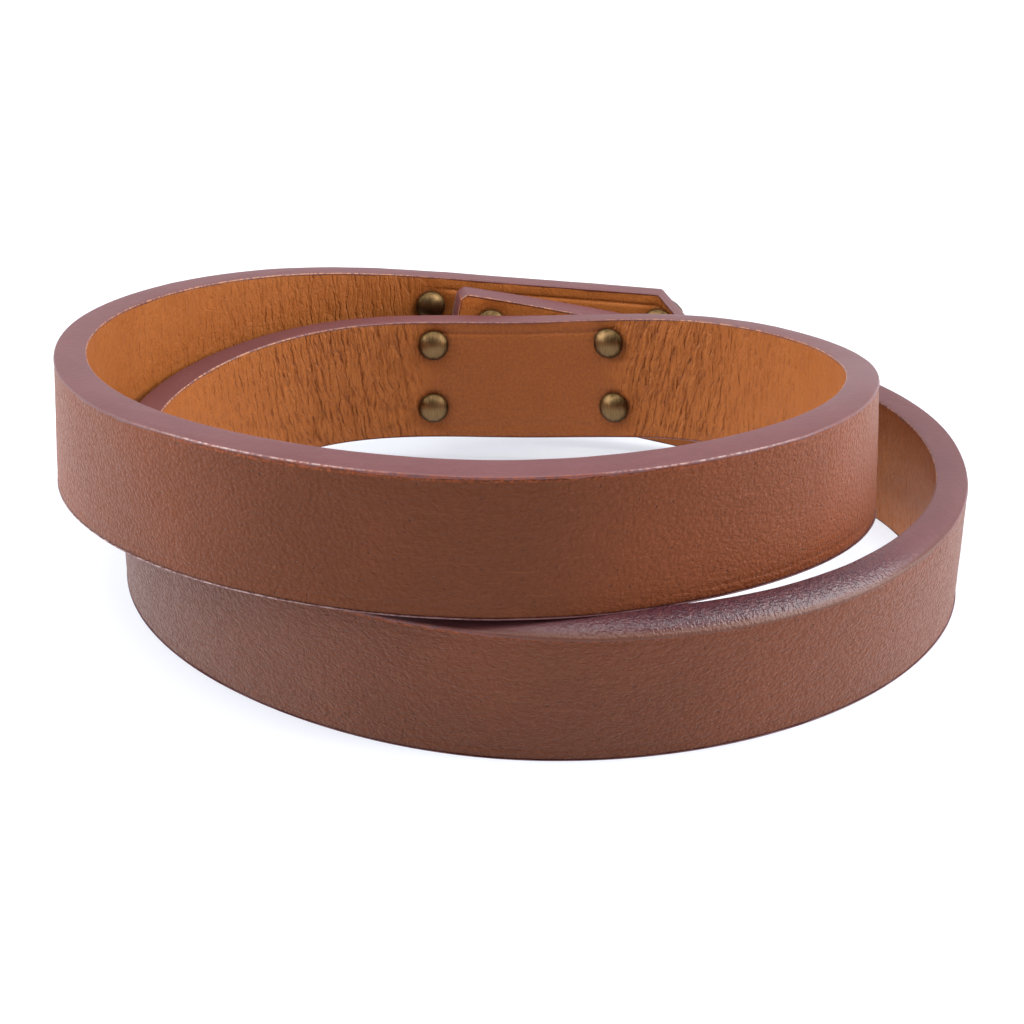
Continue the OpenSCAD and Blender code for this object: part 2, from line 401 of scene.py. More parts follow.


# Pebbled calfskin: drum-dyed, with a satin finish. Soft cells of 0.3 mm, darker in the valleys
# between them, peaks rubbed light with painted glints, scattered pores, a few scratches along the
# strap, a slow drift of tone with painted light, shade and sheen, and a raw orange rim by the paint
# where it has worn.
grain, tree, shader = new_material("pebbled_calfskin")
kept = {
    name: add_node(tree, "Attribute", attribute_name=name).outputs["Fac"]
    for name in ("edge", "raw", "faded", "tone")
}
flat_mm = flat_place(tree)
bent_mm = bent(tree, flat_mm, 1.3, 0.35)
cells = add_node(tree, "TexVoronoi", {
    "Vector": bent_mm, "Scale": 1 / 0.31, "Smoothness": 0.5, "Randomness": 1.0,
}, voronoi_dimensions="2D", feature="SMOOTH_F1")
wrinkles = valleys(tree, patches(tree, bent_mm, (1.1, 0.5), 0.35), 0.12)
fine = patches(tree, flat_mm, (0.14, 0.14), detail=2.0, roughness=0.5)
drift = patches(tree, flat_mm, (12, 12), detail=2.0, roughness=0.5)
pores = dots(tree, bent_mm, 2.4, (0.012, 0.045), 1.0)
# Peaks rubbed light, with painted glints that grow with the painted light of the tone.
peaks = dots(tree, bent_mm, 0.7, (0.03, 0.12), 0.45)
pebbles = add_node(tree, "Math", {
    0: cells, 1: -0.95,
    2: add_node(tree, "Math", {
        0: wrinkles,
        1: add_node(tree, "Math", {0: kept["faded"], 1: 0.6, 2: 0.35}, operation="MULTIPLY_ADD"),
    }, operation="MULTIPLY"),
}, operation="MULTIPLY_ADD")
burnished = add_node(tree, "MapRange", {
    "Value": kept["edge"], "From Min": 0.915, "From Max": 0.94,
}, interpolation_type="SMOOTHSTEP")
ragged = add_node(tree, "MapRange", {
    "Value": patches(tree, flat_mm, (0.3, 0.3), detail=4.0, roughness=0.7),
    "From Min": 0.42, "From Max": 0.6,
})
# Layers over the darkest tone: a drifting lighter tone with painted light and shade, faded
# dye with painted sheen, valleys, rubbed peaks with painted glints, pores, scratches and the raw
# edge.
skin_colour = layered(tree, "#653317", (
    (add_node(tree, "Math", {
        0: add_node(tree, "MapRange", {
            "Value": drift, "From Min": 0.3, "From Max": 0.7, "To Min": -0.2, "To Max": 0.2,
        }),
        1: kept["tone"],
    }, operation="ADD", use_clamp=True), "#803f1c"),
    # Greyer faded dye, partly painted sheen.
    (kept["faded"], "#6c4335"),
    (add_node(tree, "MapRange", {
        "Value": pebbles, "From Min": -0.5, "From Max": 0.1, "To Min": 0.15, "To Max": 0.0,
    }), "#4c2517"),
    (add_node(tree, "Math", {
        0: peaks,
        1: add_node(tree, "Math", {0: kept["tone"], 1: 0.9, 2: 0.15}, operation="MULTIPLY_ADD"),
    }, operation="MULTIPLY"), "#a8694c"),
    (add_node(tree, "Math", {0: pores, 1: 0.4}, operation="MULTIPLY"), "#3f1f15"),
    (add_node(tree, "MapRange", {
        "Value": patches(tree, bent_mm, (5, 0.14), 0.06, 1.0, 0.5),
        "From Min": 0.72, "From Max": 0.82, "To Min": 0.0, "To Max": 0.14,
    }), "#a86a4c"),
    (add_node(tree, "Math", {
        0: add_node(tree, "Math", {0: burnished, 1: ragged}, operation="MULTIPLY"),
        1: kept["raw"],
    }, operation="MULTIPLY"), "#a4502c"),
))
fill(tree, shader, {
    "Base Color": skin_colour,
    "Roughness": add_node(tree, "MapRange", {
        "Value": pebbles, "From Min": -0.5, "From Max": 0.3, "To Min": 0.55, "To Max": 0.38,
    }),
    "Normal": add_node(tree, "Bump", {
        "Height": add_node(tree, "Math", {
            0: add_node(tree, "Math", {0: pores, 1: -1.0, 2: pebbles}, operation="MULTIPLY_ADD"),
            1: add_node(tree, "Math", {0: fine, 1: 0.6}, operation="MULTIPLY"),
        }, operation="ADD"),
        "Strength": 1.0, "Distance": 0.062 * MM,
    }),
    "IOR": 1.48, "Specular IOR Level": 0.18, "Sheen Weight": 0.15, "Sheen Roughness": 0.3,
})
outer_leather.data.materials.append(grain)

# The lining. A smooth tan vegetable-tanned calf, 1.05 mm thick, glued to the back of the strap
# leather. Wearing has creased it across, most of all beside the rivets, and the rivet heads
# have sunk a little into it.

LINING_FACE = -STRAP_THICKNESS / 2
LINING_BACK = -0.1
LINING_EDGE_R = 0.13
RIVET_COLUMNS = {
    "middle_rivet_left": (463.9, (3, -2.4)),
    "middle_rivet_right": (432.4, (3, -2.4)),
    "end_rivet_left": (103.3, (2.5, -2.5)),
    "end_rivet_right": (70.8, (2.5, -2.5)),
    "tongue_rivet": (815.2, (2.8, -2.8)),
}
HEAD_R = 1.24

# The rivets with fine lines above their heads, and the slants of those lines as length along
# for each mm up.
PINCHED = (
    ("end_rivet_left", (0.5, 0.8, 1.15, 1.6)),
    ("middle_rivet_left", (0.5, 0.9)),
    ("middle_rivet_right", (-0.6, -1.0)),
)

# Creased stretches. Columns: first and last length in mm, number of creases, slant as length
# along for each mm down, longest crease in mm, deepest crease in mm.
CREASED = (
    (215.0, 221.0, 60, 0.18, 5.0, 0.13),
    (219.0, 228.0, 90, 0.12, 4.6, 0.12),
    (226.0, 244.0, 120, 0.03, 2.4, 0.05),
    (189.0, 196.3, 75, -0.34, 5.0, 0.15),
    (182.0, 191.0, 90, -0.1, 3.2, 0.07),
    (170.0, 184.0, 90, 0.0, 2.2, 0.04),
    (24.5, 42.0, 200, 0.2, 3.2, 0.07),
    (40.0, 80.0, 300, 0.06, 2.0, 0.045),
    (336.0, 364.0, 200, 0.05, 2.8, 0.06),
    (372.0, 394.0, 120, 0.1, 2.8, 0.07),
)

# How much the lining has folded along the strap. Columns: length in mm, amount from 0 to 1,
# slant of the folds as length along for each mm up.
WORN = np.array([
    [0, 0.1, 0.0], [22, 0.2, 0.1], [26, 0.5, 0.2], [38, 0.45, 0.15], [46, 0.35, 0.08],
    [70, 0.3, 0.05], [85, 0.2, 0.0], [165, 0.15, 0.0], [175, 0.3, 0.0], [186, 0.6, -0.1],
    [190, 1.0, -0.3], [196, 1.0, -0.35], [198, 0.2, -0.2], [199, 0.0, 0.0], [212, 0.0, 0.1],
    [214, 0.3, 0.15], [216, 1.0, 0.18], [224, 1.0, 0.14], [230, 0.6, 0.06], [240, 0.35, 0.03],
    [255, 0.2, 0.0], [330, 0.3, 0.0], [345, 0.45, 0.05], [370, 0.4, 0.05], [395, 0.3, 0.1],
    [402, 0.1, 0.0], [407, 0.1, 0.0],
])

# Shares from 0 to 1 at lengths along the strap in mm: how much lighter the lining is painted
# towards the two ends, painted light at the back of the bracelet where the lining faces the light.
PALE = ([0, 18, 24, 40, 60, 380, 392], [0.75, 0.7, 0.25, 0.12, 0.0, 0.0, 1.0])

# Stretches that need closer rings. Columns: first and last length, ring step, all in mm.
RING_STEPS = (
    (24.0, 42.0, 0.085), (42.0, 80.0, 0.14), (170.0, 183.0, 0.14), (183.0, 197.0, 0.085),
    (214.0, 230.0, 0.085), (230.0, 250.0, 0.14), (336.0, 395.0, 0.15),
)
PLAIN_STEP = 0.36


def ring_places(start, stop):
    """Lengths from start to stop in steps as the stretches say: the running sum of rings for
    each mm, cut in equal parts."""
    probe = np.arange(start, stop, 0.02)
    step = np.full(len(probe), PLAIN_STEP)
    for first, last, close in RING_STEPS:
        step[(probe > first) & (probe < last)] = close
    count = np.cumsum(0.02 / step)
    return np.interp(np.arange(0, count[-1], 1.0), count, probe)


def lattice(x, y, rng):
    """Soft noise from 0 to 1: random values at whole numbers of x and y, blended between them
    by the smooth step of the rest."""
    left, low = np.floor(x).astype(int), np.floor(y).astype(int)
    left, low = left - left.min(), low - low.min()
    values = rng.uniform(0, 1, (left.max() + 2, low.max() + 2))
    u, v = x - np.floor(x), y - np.floor(y)
    u, v = u * u * (3 - 2 * u), v * v * (3 - 2 * v)
    below = values[left, low] * (1 - u) + values[left + 1, low] * u
    above = values[left, low + 1] * (1 - u) + values[left + 1, low + 1] * u
    return below * (1 - v) + above * v


def folds(along, up, rng):
    """Depth in mm of the fine folding between ridges of about half a mm: a bell of tall soft
    noise where it crosses its mean, so that the furrows wind, fork and meet. Its cells are
    slanted, and its depth scaled, as worn."""
    amount, slant = (np.interp(along, WORN[:, 0], WORN[:, k])[:, None] for k in (1, 2))
    x = (along[:, None] - slant * up) / 0.5
    y = np.broadcast_to(up / 4.2, x.shape)
    x = x + 0.9 * lattice(x / 2.5, y * 1.6, rng)
    level = lattice(x, y, rng) - 0.5 + 0.45 * (lattice(2.1 * x, 2.3 * y, rng) - 0.5)
    return 0.08 * amount * (np.exp(-((level / 0.1) ** 2)) - 0.3)


def creases(along, up, rng):
    """Depth in mm of the single deeper creases on a grid of lengths by ups. Each is a narrow
    furrow with raised lips along a slanting, slightly bent line: depth times the bell of the
    distance over the width, less a wider and lower bell, fading as a half cosine to both
    ends."""
    depth = np.zeros((len(along), len(up)))
    for first, last, count, slant, longest, deepest in CREASED:
        for _ in range(count):
            place, height = rng.uniform(first, last), rng.uniform(-4.9, 4.0)
            long = longest * rng.uniform(0.3, 1.0)
            width = rng.uniform(0.08, 0.14)
            lean, bend = rng.normal(slant, 0.07), rng.normal(0, 0.05)
            near = slice(*np.searchsorted(along, [place - 3, place + 3]))
            share = (up - height) / (long / 2)
            fade = np.cos(np.clip(share, -1, 1) * np.pi / 2)
            line = place + lean * (up - height) + bend * (up - height) ** 2
            line += 0.1 * np.sin(2 * np.pi * (up - height) / 1.4 + place)
            off = (along[near, None] - line) / width
            furrow = np.exp(-(off**2)) - 0.4 * np.exp(-((off / 2.4) ** 2))
            depth[near] += 0.8 * deepest * rng.uniform(0.3, 1.0) * fade * furrow
    return depth


def pinches(along, up, rng):
    """Depth in mm of the fine lines that run from a rivet's head up towards the edge: bells
    across straight lines that fan out from the head's middle and fade away from it."""
    depth = np.zeros((len(along), len(up)))
    height = 2.7
    for name, slants in PINCHED:
        place = length_at(RIVET_COLUMNS[name][0])
        for slant in slants:
            slant = slant + rng.normal(0, 0.05)
            rise = up[None, :] - height
            off = (along[:, None] - place - slant * (rise + 0.8)) / 0.11
            away = np.hypot(along[:, None] - place, rise)
            fade = np.clip((away - 1.2) / 0.4, 0, 1) * np.clip((3.4 - away) / 1.6, 0, 1)
            depth += 0.03 * np.exp(-(off**2)) * fade * (rise > -0.8)
    return depth


def dimples(along, up, depth, spread):
    """Depth in mm of the hollows under the rivets: flat under each head, then a bell outwards."""
    total = np.zeros(np.broadcast(along, up).shape)
    for turn, rows in RIVET_COLUMNS.values():
        for row in rows:
            away = np.hypot(along - length_at(turn), up - row)
            total += depth * np.exp(-((np.maximum(away - HEAD_R, 0) / spread) ** 2))
    return total


lining_rows = np.linspace(-LEATHER_HALF + LINING_EDGE_R, LEATHER_HALF - LINING_EDGE_R, 25)
lining_rows = np.unique(np.concatenate([
    lining_rows, 3.95 + np.linspace(-0.24, 0.24, 7), [-4.07, -3.95, -3.83],
]))
lining_section = np.concatenate([
    column(LINING_BACK, [-LEATHER_HALF, 0.0, LEATHER_HALF]),
    quarter(LINING_FACE, LEATHER_HALF, LINING_EDGE_R, 90, 4),
    column(LINING_FACE, lining_rows[::-1][1:-1]),
    quarter(LINING_FACE, -LEATHER_HALF, LINING_EDGE_R, 180, 4),
])
lining_along = np.concatenate([
    np.linspace(0.05, 2.9, 12),
    ring_places(3, STRAP_LENGTH - 1.5),
    np.linspace(STRAP_LENGTH - 1.4, STRAP_LENGTH - 0.05, 8),
])
lining_up = lining_section[:, 1] * half_width(lining_along[:, None], LEATHER_HALF) / LEATHER_HALF
face_up = lining_section[:, 1]
crease_depth = creases(lining_along, face_up, rng) + folds(lining_along, face_up, rng)
crease_depth += pinches(lining_along, face_up, rng)
# The creases die out towards the edges. The stretch between the middle rivets is flat, and a
# line is pressed into it and into the outer end along their edges.
crease_depth *= np.clip((LEATHER_HALF - np.abs(face_up)) / 0.9, 0, 1) ** 0.7
plate_left = length_at(RIVET_COLUMNS["middle_rivet_left"][0])
plate_right = length_at(RIVET_COLUMNS["middle_rivet_right"][0])
from_plate = np.minimum(plate_left - 1.0 - lining_along, lining_along - plate_right - 1.0)
crease_depth *= 1 - np.clip(from_plate / 2.0, 0, 1)[:, None]
plated = np.clip(from_plate + 1.6, 0, 1) + np.clip((22.5 - lining_along) / 1.5, 0, 1)
upper_line = np.exp(-(((face_up - 3.95) / 0.13) ** 2)) - 0.3 * np.exp(-(((face_up - 3.6) / 0.2) ** 2))
lower_line = 0.5 * np.exp(-(((face_up + 3.95) / 0.13) ** 2))
inner_line = (upper_line + lower_line) * plated[:, None]
on_face = np.clip((LINING_FACE + LINING_EDGE_R - lining_section[:, 0]) / LINING_EDGE_R, 0, 1)
sunk = crease_depth + 0.08 * inner_line
sunk = sunk + dimples(lining_along[:, None], lining_up, 0.09, 0.5)
sunk += 0.02 * ripple(lining_along[:, None], lining_up, 6, 8, rng)
lining = swept(
    "lining_skin",
    on_strap(lining_along[:, None], lining_up, lining_section[:, 0] + on_face * sunk, 0.04),
    (lining_along[:, None], lining_up),
    crease=np.clip(crease_depth / 0.09 + 0.35 * inner_line, -1, 1) * on_face,
    shade=dimples(lining_along[:, None], lining_up, 1.0, 0.13),
    worn=np.interp(lining_along, WORN[:, 0], WORN[:, 1])[:, None],
    lean=np.interp(lining_along, WORN[:, 0], WORN[:, 2])[:, None],
    # Painted light on the lining towards both ends.
    pale=np.interp(lining_along, *PALE)[:, None],
    darkened=np.clip(from_plate / 2 + 1, 0, 1)[:, None],
)
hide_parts("lining_leather")

# Tan lining calf: smooth, slightly waxy and finely mottled. Where it has folded, a net of furrows
# about half a mm apart winds across the strap. Furrows are coloured darker, their lips have a
# painted highlight, hair pores show as darker flecks, the flat stretch is darker, and the ends
# have painted light.
tan, tree, shader = new_material("tan_lining_calf")
kept = {
    name: add_node(tree, "Attribute", attribute_name=name).outputs["Fac"]
    for name in ("crease", "shade", "worn", "lean", "pale", "darkened")
}
flat_mm = flat_place(tree)
bent_mm = bent(tree, flat_mm, 1.1, 0.6)
streaks = valleys(tree, patches(tree, bent_mm, (0.4, 0.8), 0.0, 4.0), 0.14)
flecks = dots(tree, add_node(tree, "Mapping", {
    "Vector": bent_mm, "Scale": (1 / 0.8, 1 / 1.3, 1.0),
}), 1.0, (0.04, 0.12), 1.0)
fine = patches(tree, flat_mm, (0.26, 0.26), detail=4.0, roughness=0.65)
drift = patches(tree, flat_mm, (5, 5), detail=6.0, roughness=0.72)
# The net is worked out on places that are sheared as the folds slant. It fades unevenly, and
# goes as deep as the lining has folded. Columns: cell's length and height in mm, width, depth.
winding = add_node(tree, "SeparateXYZ", {"Vector": bent(tree, flat_mm, 1 / 1.3, 0.55)})
sheared_mm = add_node(tree, "CombineXYZ", {
    "X": add_node(tree, "Math", {
        0: winding.outputs["Y"],
        1: add_node(tree, "Math", {0: kept["lean"], 1: -1.0}, operation="MULTIPLY"),
        2: winding.outputs["X"],
    }, operation="MULTIPLY_ADD"),
    "Y": winding.outputs["Y"],
})
uneven = add_node(tree, "MapRange", {
    "Value": patches(tree, flat_mm, (0.9, 0.9), detail=2.0, roughness=0.5),
    "From Min": 0.34, "From Max": 0.6, "To Min": 0.3, "To Max": 1.0,
})
wide_net, fine_net = [
    add_node(tree, "MapRange", {
        "Value": add_node(tree, "TexVoronoi", {
            "Vector": add_node(tree, "Mapping", {
                "Vector": sheared_mm, "Scale": (1 / long, 1 / tall, 1.0),
            }),
            "Scale": 1.0,
        }, voronoi_dimensions="2D", feature="DISTANCE_TO_EDGE"),
        "From Min": 0.0, "From Max": width, "To Min": deep, "To Max": 0.0,
    }, interpolation_type="SMOOTHSTEP")
    for long, tall, width, deep in ((0.75, 5.5, 0.15, 1.0), (0.45, 2.2, 0.2, 0.5))
]
furrows = add_node(tree, "Math", {
    0: add_node(tree, "Math", {0: wide_net, 1: fine_net}, operation="ADD"),
    1: add_node(tree, "Math", {0: kept["worn"], 1: uneven}, operation="MULTIPLY"),
}, operation="MULTIPLY")
# Layers: drift, painted light on the ends, a painted highlight on the lips, darker colour in the
# furrows, flecks, the flat stretch, and the shade close to the rivets' heads.
lining_colour = layered(tree, "#914f1d", (
    (drift, "#a25e27"),
    # Painted light on the ends.
    (kept["pale"], "#bd6f33"),
    # Painted highlight on the raised lips of the creases.
    (add_node(tree, "MapRange", {
        "Value": kept["crease"], "From Min": 0.0, "From Max": -0.6, "To Min": 0.0, "To Max": 0.2,
    }), "#b3713a"),
    # The furrows and pressed lines are coloured darker.
    (add_node(tree, "MapRange", {
        "Value": add_node(tree, "Math", {0: kept["crease"], 1: 0.6, 2: furrows},
                          operation="MULTIPLY_ADD"),
        "From Min": 0.1, "From Max": 1.4, "To Min": 0.0, "To Max": 0.38,
    }), "#6d3413"),
    (add_node(tree, "Math", {
        0: flecks,
        1: add_node(tree, "Math", {0: kept["worn"], 1: 0.45, 2: 0.04}, operation="MULTIPLY_ADD"),
    }, operation="MULTIPLY"), "#733a17"),
    (add_node(tree, "Math", {
        0: kept["darkened"],
        1: add_node(tree, "Math", {0: fine, 1: 1.1, 2: -0.13},
                    operation="MULTIPLY_ADD", use_clamp=True),
    }, operation="MULTIPLY"), "#6e381a"),
    (add_node(tree, "Math", {0: kept["shade"], 1: 0.6}, operation="MULTIPLY"), "#4a2410"),
))
fill(tree, shader, {
    "Base Color": lining_colour,
    "Roughness": add_node(tree, "MapRange", {
        "Value": streaks, "From Min": 0.0, "From Max": 1.0, "To Min": 0.55, "To Max": 0.42,
    }),
    "Normal": add_node(tree, "Bump", {
        "Height": add_node(tree, "Math", {
            0: add_node(tree, "Math", {
                0: furrows, 1: -2.0,
                2: add_node(tree, "Math", {
                    0: add_node(tree, "Math", {0: flecks, 1: -0.6, 2: streaks},
                                operation="MULTIPLY_ADD"),
                    1: add_node(tree, "Math", {0: kept["worn"], 1: 0.25, 2: 0.22},
                                operation="MULTIPLY_ADD"),
                }, operation="MULTIPLY"),
            }, operation="MULTIPLY_ADD"),
            1: add_node(tree, "Math", {0: fine, 1: 0.6}, operation="MULTIPLY"),
        }, operation="ADD"),
        "Strength": 1.0, "Distance": 0.06 * MM,
    }),
    "IOR": 1.46, "Specular IOR Level": 0.27,
})
lining.data.materials.append(tan)

# The edge paint. Mauve-brown lacquer brushed in coats over the sanded edges of both leathers
# and round the two clipped ends, until the glue line no longer shows. It ends a little way
# onto both faces, in a hand-drawn line.

PAINT_STEP = 0.3
PAINT_CORNER_R = 0.6
LOWER_TURNED_OVER = 0.45
SQUEEZED_UP = 0.24

# Shares from 0 to 1 at lengths along the strap in mm. On the upper edge: how far the coat stands
# higher on the lining side, where the strap bends most sharply; how far the outer and the inner
# corner are rubbed pale with a painted highlight; how glossy the coat is; and how far its outer
# corner is worn off down to the grain. On the lower edge: how far the outer corner is rubbed pale
# with a painted highlight.
SQUEEZED = ([288, 306, 328, 346], [0.0, 1.0, 1.0, 0.0])
RUBBED = ([88, 96, 98, 106, 113, 123, 126, 133, 138, 283, 303, 307, 320, 326],
          [0.15, 0.4, 1.0, 1.0, 0.15, 0.1, 0.8, 0.8, 0.25, 0.15, 0.2, 0.4, 0.4, 0.25])
INNER_RUBBED = ([18, 28, 50, 190, 197, 219, 226], [0.2, 1.0, 0.8, 0.8, 0.45, 0.45, 1.0])
GLOSSY = ([296, 310, 318, 332], [0.0, 1.0, 1.0, 0.1])
STRIPPED = ([292, 302, 326, 340], [0.0, 1.0, 1.0, 0.0])
LOWER_RUBBED = ([70, 78, 98, 122], [0.3, 1.0, 0.9, 0.0])
# How far out from the middle of the thickness the worn-off corner starts, in mm.
STRIPPED_FROM = ([300, 314, 324], [0.68, 0.7, 0.84])


def outline(half, length, step, radius):
    """The strap's flat outline as lengths, ups and outward directions, anticlockwise from the
    middle of the tongue end: straight sides with a short arc of the given radius at each
    corner, cut in equal steps."""
    corners = np.array([
        [length, -half + TONGUE_CLIP], [length, half - TONGUE_CLIP],
        [length - TONGUE_CLIP, half], [OUTER_CLIP, half],
        [0, half - OUTER_CLIP], [0, -half + OUTER_CLIP],
        [OUTER_CLIP, -half], [length - TONGUE_CLIP, -half],
    ])
    before, after = np.roll(corners, 1, 0) - corners, np.roll(corners, -1, 0) - corners
    before /= np.linalg.norm(before, axis=1, keepdims=True)
    after /= np.linalg.norm(after, axis=1, keepdims=True)
    reach = radius * 0.35
    share = np.linspace(0, 1, 5)[None, :, None]
    start, end = corners + before * reach, corners + after * reach
    bend = (1 - share) ** 2 * start[:, None] + 2 * share * (1 - share) * corners[:, None]
    bend = (bend + share**2 * end[:, None]).reshape(-1, 2)
    loop = np.concatenate([bend, bend[:1]])
    run = np.concatenate([[0], np.cumsum(np.linalg.norm(np.diff(loop, axis=0), axis=1))])
    at = np.linspace(0, run[-1], int(run[-1] / step), endpoint=False)
    at = np.unique(np.concatenate([at, run[:-1]]))
    path = np.stack([np.interp(at, run, loop[:, 0]), np.interp(at, run, loop[:, 1])], -1)
    way = np.roll(path, -1, 0) - np.roll(path, 1, 0)
    way /= np.linalg.norm(way, axis=1, keepdims=True)
    return path, np.stack([way[:, 1], -way[:, 0]], -1), at


edge_path, edge_out, edge_run = outline(
    STRAP_WIDTH / 2, STRAP_LENGTH, PAINT_STEP, PAINT_CORNER_R
)
edge_along = edge_path[:, :1]
skin = GRAIN_FACE + 0.02
paint_outside = np.concatenate([
    [[-skin + 0.01, -0.17]],
    quarter(-skin, -0.01, 0.14, 90, 6)[::-1],
    [[-0.75, 0.0], [-0.45, 0.0], [-0.1, 0.0], [0.2, -0.004], [0.5, -0.016], [0.75, -0.034]],
    [[0.92, -0.054]],
    quarter(skin, -0.06, 0.16, 0, 6)[::-1],
    [[skin - 0.01, -0.26]],
])
paint_inside = np.array([
    [skin - 0.1, -0.29], [skin - 0.2, -0.22], [skin - 0.4, -0.13],
    [-skin + 0.4, -0.12], [-skin + 0.2, -0.14], [-skin + 0.1, -0.2],
])
paint_section = np.concatenate([paint_outside, paint_inside])
outer_count = len(paint_outside)
run = edge_run[:, None]
drawn = np.zeros((len(edge_run), len(paint_section)))
drawn[:, 0] = drawn[:, -1] = 0.025 * wander(edge_run, 2.3, rng) + 0.015 * wander(edge_run, 0.8, rng)
drawn[:, outer_count - 1] = 0.03 * wander(edge_run, 1.9, rng) + 0.04 * wander(edge_run, 0.6, rng)
drawn[:, outer_count] = drawn[:, outer_count - 1]
brushed = 0.008 * ripple(run, paint_section[:, 0], 4.5, 0.8, rng)
brushed = brushed + 0.006 * ripple(run, paint_section[:, 0], 12, 2, rng)
crown = np.zeros(len(paint_section))
crown[6 : outer_count - 6] = 1.0
on_top = edge_path[:, 1:] > 0
# Along the lower edge the coat turns over onto the leathers only 0.1 mm.
turned_over = np.where(on_top, 1.0, LOWER_TURNED_OVER)
height = (paint_section[:, 1] + drawn) * turned_over + brushed * crown - 0.012
lining_side = np.clip((0.9 - paint_section[:, 0]) / 1.3, 0, 1) ** 0.7
height += SQUEEZED_UP * eased(edge_along, SQUEEZED) * on_top * lining_side * crown
paint_along = edge_along + height * edge_out[:, :1]
paint_up = edge_path[:, 1:] + height * edge_out[:, 1:]
paint_up = paint_up - worn_round(paint_along, paint_up, paint_section[:, 0])
floor = np.where(np.arange(len(paint_section)) < outer_count, 0.0, 0.03)
stripped = np.clip((paint_section[:, 0] - np.interp(edge_along, *STRIPPED_FROM)) / 0.25, 0, 1)
stripped = stripped * eased(edge_along, STRIPPED) * on_top
# Rubbed pale corners: partly wear and partly a painted highlight on the rounded corners.
rub = np.zeros(drawn.shape)
rub[:, 2:6] = (0.5, 0.9, 1.0, 0.5)
rub[:, 2:6] *= eased(edge_along, INNER_RUBBED)
rub[:, outer_count - 6 : outer_count - 3] = (0.5, 1.0, 0.5)
rub[:, outer_count - 6 : outer_count - 3] *= np.where(on_top, eased(edge_along, RUBBED), 0.7)
rub[:, outer_count - 4 :] += 0.8 * eased(edge_along, LOWER_RUBBED) * ~on_top
# Where the leather's edge is raw, the paint is worn through along the corner as well.
bare = np.zeros(drawn.shape)
bare[:, outer_count - 7 : outer_count] = (0.2, 0.6, 0.9, 1.0, 1.0, 1.0, 1.0)
bare *= eased(edge_along, RAW_EDGE) * on_top
edge_paint = swept(
    "edge_paint",
    on_strap(paint_along, paint_up, paint_section[:, 0], floor),
    (run, paint_section[:, 0]),
    closed=True,
    rub=rub * (1 - stripped),
    gloss=eased(edge_along, GLOSSY) * on_top * (1 - stripped),
    bare=bare * (1 - stripped),
    stripped=stripped,
)

# Edge lacquer: half glossy and a little mottled, with faint brush waves. Its corners are rubbed
# paler with a painted highlight in a broken line, in places worn through to the orange leather,
# and specks of dust stand in the coat. At the sharp bend it is glossier, grainier and darker, and
# the outer corner is bare grain.
lacquer, tree, shader = new_material("mauve_edge_lacquer")
kept = {
    name: add_node(tree, "Attribute", attribute_name=name).outputs["Fac"]
    for name in ("gloss", "rub", "bare", "stripped")
}
flat_mm = flat_place(tree)
mottle = patches(tree, flat_mm, (0.5, 0.5), detail=4.0)
drift = patches(tree, flat_mm, (6, 6), detail=2.0, roughness=0.5)
grains = patches(tree, flat_mm, (0.2, 0.2), detail=1.0)
brushing = patches(tree, flat_mm, (1.1, 0.18))
dust = dots(tree, flat_mm, 1.1, (0.03, 0.07), 1.0)
broken = add_node(tree, "MapRange", {
    "Value": patches(tree, flat_mm, (0.35, 0.35), roughness=0.7),
    "From Min": 0.38, "From Max": 0.62,
})
# Painted highlight and rubbing on the corners, broken up.
rubbed = add_node(tree, "Math", {0: kept["rub"], 1: broken}, operation="MULTIPLY", use_clamp=True)
# Rubbed corners and their painted highlight are more orange on the lining side.
outwards = add_node(tree, "MapRange", {
    "Value": add_node(tree, "SeparateXYZ", {"Vector": flat_mm}).outputs["Y"],
    "From Min": -0.9, "From Max": -0.5,
})
pale = layered(tree, "#d89a6c", [(outwards, "#e0c4bc")])
# Layers: drift, darker mottling, bare grain, raw leather, and rubbed corners with a painted
# highlight.
paint_colour = layered(tree, "#63393b", (
    (drift, "#704445"),
    (add_node(tree, "Math", {
        0: mottle,
        1: add_node(tree, "Math", {0: kept["gloss"], 1: 1.3, 2: 0.35}, operation="MULTIPLY_ADD"),
    }, operation="MULTIPLY", use_clamp=True), "#44252e"),
    (kept["stripped"], "#613829"),
    (add_node(tree, "Math", {
        0: kept["bare"],
        1: add_node(tree, "MapRange", {
            "Value": mottle, "From Min": 0.4, "From Max": 0.58,
        }),
    }, operation="MULTIPLY"), "#8f4529"),
    (add_node(tree, "Math", {0: rubbed, 1: 0.6}, operation="MULTIPLY"), pale),
))
fill(tree, shader, {
    "Base Color": paint_colour,
    "Roughness": add_node(tree, "MapRange", {
        "Value": kept["gloss"], "From Min": 0.0, "From Max": 1.0, "To Min": 0.42, "To Max": 0.1,
    }),
    "Normal": add_node(tree, "Bump", {
        "Height": add_node(tree, "Math", {
            0: brushing,
            1: add_node(tree, "Math", {0: kept["gloss"], 1: 2.2, 2: 0.3}, operation="MULTIPLY_ADD"),
            2: add_node(tree, "Math", {
                0: grains,
                1: add_node(tree, "Math", {
                    0: kept["gloss"], 1: 5.0,
                    2: add_node(tree, "Math", {0: kept["stripped"], 1: 4.0, 2: 0.7},
                                operation="MULTIPLY_ADD"),
                }, operation="MULTIPLY_ADD"),
                2: add_node(tree, "Math", {0: mottle, 1: 1.6, 2: dust}, operation="MULTIPLY_ADD"),
            }, operation="MULTIPLY_ADD"),
        }, operation="MULTIPLY_ADD"),
        "Strength": 0.6, "Distance": 0.02 * MM,
    }),
    "IOR": 1.5, "Specular IOR Level": 0.42,
})
edge_paint.data.materials.append(lacquer)

